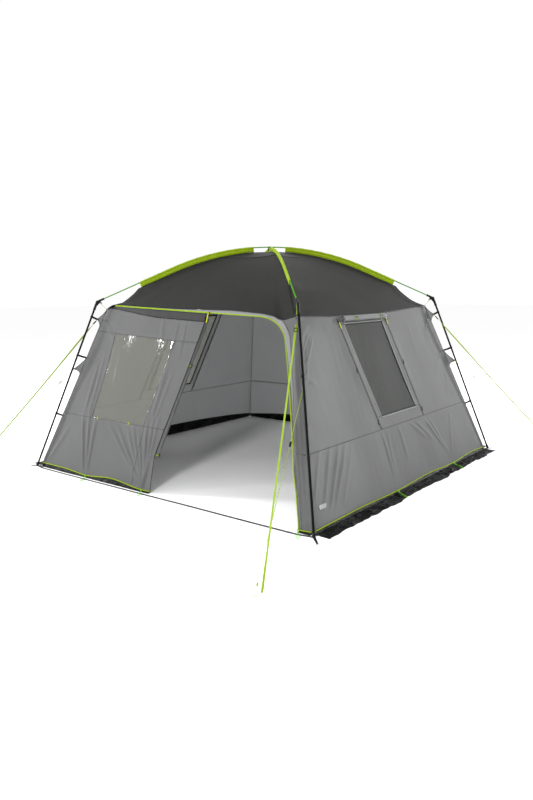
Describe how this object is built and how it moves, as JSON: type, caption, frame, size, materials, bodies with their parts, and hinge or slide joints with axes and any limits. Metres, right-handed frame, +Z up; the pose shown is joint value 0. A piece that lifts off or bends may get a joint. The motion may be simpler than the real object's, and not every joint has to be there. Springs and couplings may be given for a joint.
{
  "type": "screen house",
  "caption": "Square camping pavilion with sloping cloth walls, a half open zip door, mesh windows and a dome roof hung under crossed poles on steel legs.",
  "frame": {"origin": "on the ground, in the middle of the four feet", "axes": "+Z up; the door wall faces -Y and the big window wall faces +X"},
  "size_m": [4.8787, 4.8514, 2.237],
  "materials": {
    "pole_fibreglass": "glossy green resin-bonded glass fibre",
    "bare_steel": "plain galvanised steel",
    "elastic_cord": "woven elastic cord",
    "black_plastic": "moulded nylon, fine satin",
    "black_steel": "black powder coat",
    "black_webbing": "woven polypropylene webbing",
    "grey_webbing": "woven polypropylene webbing",
    "roof_cloth": "plain weave polyester, matt coated",
    "wall_cloth": "plain weave polyester, matt coated",
    "lime_cloth": "plain weave polyester",
    "lime_cord": "braided cord",
    "lime_webbing": "flat woven webbing",
    "lime_zip": "nylon coil zip",
    "grey_zip": "nylon coil zip",
    "zip_metal": "black coated zinc",
    "pull_ribbon": "woven ribbon",
    "window_mesh": "fine dark polyester mesh",
    "clear_pane": "clear flexible sheet",
    "flap_sheet": "crinkled coated sheet"
  },
  "bodies": {
    "pavilion": {"roof_pole_left_right": "pole_fibreglass", "roof_pole_front_back": "pole_fibreglass", "pole_ferrules": "bare_steel", "pole_shock_cords": "elastic_cord", "foot_caps": "black_plastic", "foot_rings": "bare_steel", "leg_straps": "black_webbing", "corner_guy_tabs": "wall_cloth", "apex_tie": "black_webbing", "canopy": "roof_cloth", "pole_sleeves": "lime_cloth", "canopy_corner_cords": "elastic_cord", "window_wall": "wall_cloth", "left_wall": "wall_cloth", "back_wall": "wall_cloth", "door_surround": "wall_cloth", "door_leaf": "wall_cloth", "door_roll": "wall_cloth", "door_rain_flap": "roof_cloth", "pvc_window": "clear_pane", "mesh_windows": "window_mesh", "window_flap_rolls": "wall_cloth", "roll_toggles": "lime_cord", "door_zip_track": "lime_zip", "window_zip_tracks": "grey_zip", "hem_piping": "lime_cloth", "mud_flaps": "flap_sheet", "base_strap": "grey_webbing", "peg_loops": "lime_cord", "storm_band_fittings": "black_plastic", "elbow_left": "black_plastic", "leg_left": "black_steel", "storm_band_left": "lime_webbing", "guy_line_left": "lime_cord", "elbow_front": "black_plastic", "leg_front": "black_steel", "storm_band_front": "lime_webbing", "guy_line_front": "lime_cord", "elbow_right": "black_plastic", "leg_right": "black_steel", "storm_band_right": "lime_webbing", "guy_line_right": "lime_cord", "elbow_back": "black_plastic", "leg_back": "black_steel", "storm_band_back": "lime_webbing", "guy_line_back": "lime_cord"},
    "door_zip_slider": {"door_zip_slider": "zip_metal"},
    "door_zip_pull": {"door_zip_pull": "pull_ribbon"},
    "right_window_a_slider": {"right_window_a_slider": "zip_metal"},
    "right_window_a_pull": {"right_window_a_pull": "pull_ribbon"},
    "right_window_b_slider": {"right_window_b_slider": "zip_metal"},
    "right_window_b_pull": {"right_window_b_pull": "pull_ribbon"},
    "left_window_a_slider": {"left_window_a_slider": "zip_metal"},
    "left_window_a_pull": {"left_window_a_pull": "pull_ribbon"},
    "left_window_b_slider": {"left_window_b_slider": "zip_metal"},
    "left_window_b_pull": {"left_window_b_pull": "pull_ribbon"},
    "guy_runner_left": {"guy_runner_left": "black_plastic"},
    "guy_runner_front": {"guy_runner_front": "black_plastic"},
    "guy_runner_right": {"guy_runner_right": "black_plastic"},
    "guy_runner_back": {"guy_runner_back": "black_plastic"}
  },
  "joints": [
    {"name": "door_zip_slide", "type": "slide", "parent": "pavilion", "child": "door_zip_slider", "axis": [0.9992, -0.0126, -0.0387], "range_m": [-1.26, 0.54]},
    {"name": "door_zip_pull_swing", "type": "hinge", "parent": "door_zip_slider", "child": "door_zip_pull", "pos_m": [0.237, -1.20166, 1.60106], "axis": [-0.9992, 0.0126, 0.0387], "range_deg": [0, 150]},
    {"name": "right_window_a_slide", "type": "slide", "parent": "pavilion", "child": "right_window_a_slider", "axis": [-0.3015, -0.2417, 0.9223], "range_m": [-1, 0.012]},
    {"name": "right_window_a_pull_swing", "type": "hinge", "parent": "right_window_a_slider", "child": "right_window_a_pull", "pos_m": [1.23102, -0.60572, 1.51126], "axis": [0.0751, -0.9704, -0.2297], "range_deg": [0, 150]},
    {"name": "right_window_b_slide", "type": "slide", "parent": "pavilion", "child": "right_window_b_slider", "axis": [-0.3015, -0.2417, 0.9223], "range_m": [-1, 0.012]},
    {"name": "right_window_b_pull_swing", "type": "hinge", "parent": "right_window_b_slider", "child": "right_window_b_pull", "pos_m": [1.23102, 0.24628, 1.51126], "axis": [0.0751, -0.9704, -0.2297], "range_deg": [0, 150]},
    {"name": "left_window_a_slide", "type": "slide", "parent": "pavilion", "child": "left_window_a_slider", "axis": [0.3015, 0.2417, 0.9223], "range_m": [-1, 0.012]},
    {"name": "left_window_a_pull_swing", "type": "hinge", "parent": "left_window_a_slider", "child": "left_window_a_pull", "pos_m": [-1.23102, 0.60572, 1.51126], "axis": [-0.0751, 0.9704, -0.2297], "range_deg": [0, 150]},
    {"name": "left_window_b_slide", "type": "slide", "parent": "pavilion", "child": "left_window_b_slider", "axis": [0.3015, 0.2417, 0.9223], "range_m": [-1, 0.012]},
    {"name": "left_window_b_pull_swing", "type": "hinge", "parent": "left_window_b_slider", "child": "left_window_b_pull", "pos_m": [-1.23102, -0.24628, 1.51126], "axis": [-0.0751, 0.9704, -0.2297], "range_deg": [0, 150]},
    {"name": "guy_runner_left_slide", "type": "slide", "parent": "pavilion", "child": "guy_runner_left", "axis": [-0.6425, -0.3803, -0.6653], "range_m": [-0.12, 0.6]},
    {"name": "guy_runner_front_slide", "type": "slide", "parent": "pavilion", "child": "guy_runner_front", "axis": [0.3315, -0.7499, -0.5725], "range_m": [-0.42, 0.6]},
    {"name": "guy_runner_right_slide", "type": "slide", "parent": "pavilion", "child": "guy_runner_right", "axis": [0.6538, 0.3753, -0.657], "range_m": [-0.18, 0.6]},
    {"name": "guy_runner_back_slide", "type": "slide", "parent": "pavilion", "child": "guy_runner_back", "axis": [-0.6123, 0.4271, -0.6653], "range_m": [-0.18, 0.6]}
  ]
}
